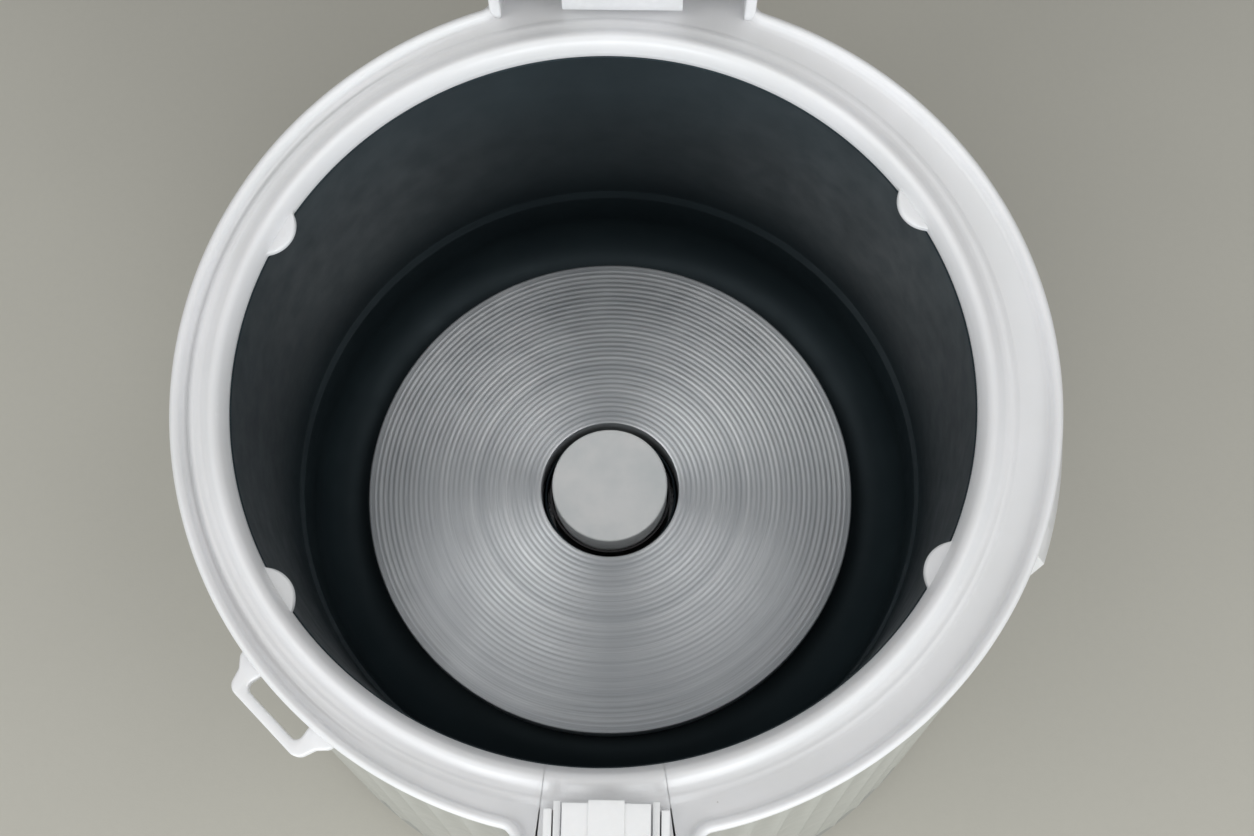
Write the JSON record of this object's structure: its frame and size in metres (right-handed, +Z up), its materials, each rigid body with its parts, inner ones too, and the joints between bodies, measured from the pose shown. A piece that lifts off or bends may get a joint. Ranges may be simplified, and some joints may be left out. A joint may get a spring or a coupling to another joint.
{
  "type": "rice cooker",
  "caption": "Jar-type rice cooker with its hinged lid open: fluted white body, dark pot well with heating plate and sprung sensor, front latch, spoon loop and side power inlet.",
  "frame": {"origin": "centre of the standing face, on the axis of the outer body", "axes": "+Z up, +Y to the lid hinge at the back, -Y to the latch and cook key, +X to the power inlet"},
  "size_m": [0.264, 0.3183, 0.4309],
  "materials": {
    "shell_plastic": "semi-gloss, fluted white",
    "white_plastic": "satin moulded white",
    "grey_plastic": "fine matt",
    "black_plastic": "moulded black",
    "coated_steel": "satin heat-proof coating",
    "turned_aluminium": "fine concentric turning marks",
    "cap_aluminium": "satin pale",
    "lid_aluminium": "brushed",
    "steel": "zinc plated",
    "black_rubber": "matt",
    "silicone": "translucent grey",
    "brass": "plated",
    "magnet": "sintered",
    "ceramic": "glazed",
    "mica": "mica sheet",
    "sleeving": "glass-fibre sleeve",
    "circuit_board": "paper laminate",
    "red_lens": "translucent",
    "amber_lens": "translucent"
  },
  "bodies": {
    "cooker": {"base_cover": "shell_plastic", "base_screws": "steel", "button_springs": "steel", "casing_posts": "steel", "cook_lamp_lens": "red_lens", "foot_ring": "black_rubber", "front_housing": "white_plastic", "heating_element": "steel", "heating_plate": "turned_aluminium", "hinge_pin": "steel", "hinge_springs": "steel", "inlet_blades": "brass", "inlet_housing": "white_plastic", "inlet_screws": "steel", "inner_casing": "coated_steel", "keep_warm_band": "mica", "lamp_board": "circuit_board", "latch_bracket": "white_plastic", "latch_cheeks": "white_plastic", "latch_pin": "steel", "lead_insulators": "ceramic", "lever_pin": "steel", "lever_spring": "steel", "lever_stand": "steel", "main_switch": "black_plastic", "outer_shell": "shell_plastic", "plate_screws": "steel", "power_inlet": "black_plastic", "sensor_bracket": "steel", "sensor_sleeve": "steel", "sensor_spring": "steel", "spoon_loop": "white_plastic", "terminal_block": "black_plastic", "terminal_screws": "brass", "thermal_fuse": "sleeving", "top_collar": "white_plastic", "warm_lamp_lens": "amber_lens", "wiring_harness": "sleeving"},
    "lid": {"lid_shell": "white_plastic", "lid_liner": "white_plastic", "lid_catch": "white_plastic", "lid_screws": "steel"},
    "steam_vent": {"steam_cap": "white_plastic", "steam_seal": "silicone"},
    "inner_lid": {"inner_lid_plate": "lid_aluminium", "lid_gasket": "silicone", "plate_grommet": "silicone"},
    "hook": {"latch_hook": "white_plastic"},
    "button": {"open_button": "white_plastic"},
    "lever": {"cook_lever": "steel", "cook_key": "grey_plastic"},
    "magnet": {"lift_magnet": "magnet", "lift_rod": "steel"},
    "sensor": {"sensor_cap": "cap_aluminium", "sensor_ferrite": "magnet"}
  },
  "joints": [
    {"name": "lid_hinge", "type": "hinge", "parent": "cooker", "child": "lid", "pos_m": [0, 0.1185, 0.197], "axis": [1, 0, 0], "range_deg": [0, 90], "stiffness_Nm_per_rad": 0.45, "springref_deg": -34.38, "deforming": ["hinge_springs"]},
    {"name": "steam_cap_lift", "type": "slide", "parent": "lid", "child": "steam_vent", "axis": [0, 1, 0], "range_m": [0, 0.03]},
    {"name": "inner_lid_pull", "type": "slide", "parent": "lid", "child": "inner_lid", "axis": [0, -1, 0], "range_m": [0, 0.03]},
    {"name": "open_button_press", "type": "slide", "parent": "cooker", "child": "button", "axis": [0, 1, 0], "range_m": [0, 0.004], "stiffness_N_per_m": 500, "springref_m": -0.002, "deforming": ["button_springs"]},
    {"name": "hook_turn", "type": "hinge", "parent": "cooker", "child": "hook", "pos_m": [0, -0.121, 0.178], "axis": [1, 0, 0], "range_deg": [0, 13.5]},
    {"name": "cook_lever_press", "type": "hinge", "parent": "cooker", "child": "lever", "pos_m": [-0.0035, -0.06, 0.033], "axis": [1, 0, 0], "range_deg": [0, 4.7], "stiffness_Nm_per_rad": 1.6, "springref_deg": -4.58, "deforming": ["lever_spring"]},
    {"name": "magnet_lift", "type": "slide", "parent": "cooker", "child": "magnet", "axis": [0, 0, 1], "range_m": [0, 0.005]},
    {"name": "sensor_press", "type": "slide", "parent": "cooker", "child": "sensor", "axis": [0, 0, -1], "range_m": [0, 0.0035], "stiffness_N_per_m": 700, "springref_m": -0.004, "deforming": ["sensor_spring"]}
  ],
  "couplings": [
    {"joint": "hook_turn", "follows": "open_button_press", "rad_per_m": 58.8},
    {"joint": "magnet_lift", "follows": "cook_lever_press", "m_per_rad": 0.06}
  ]
}
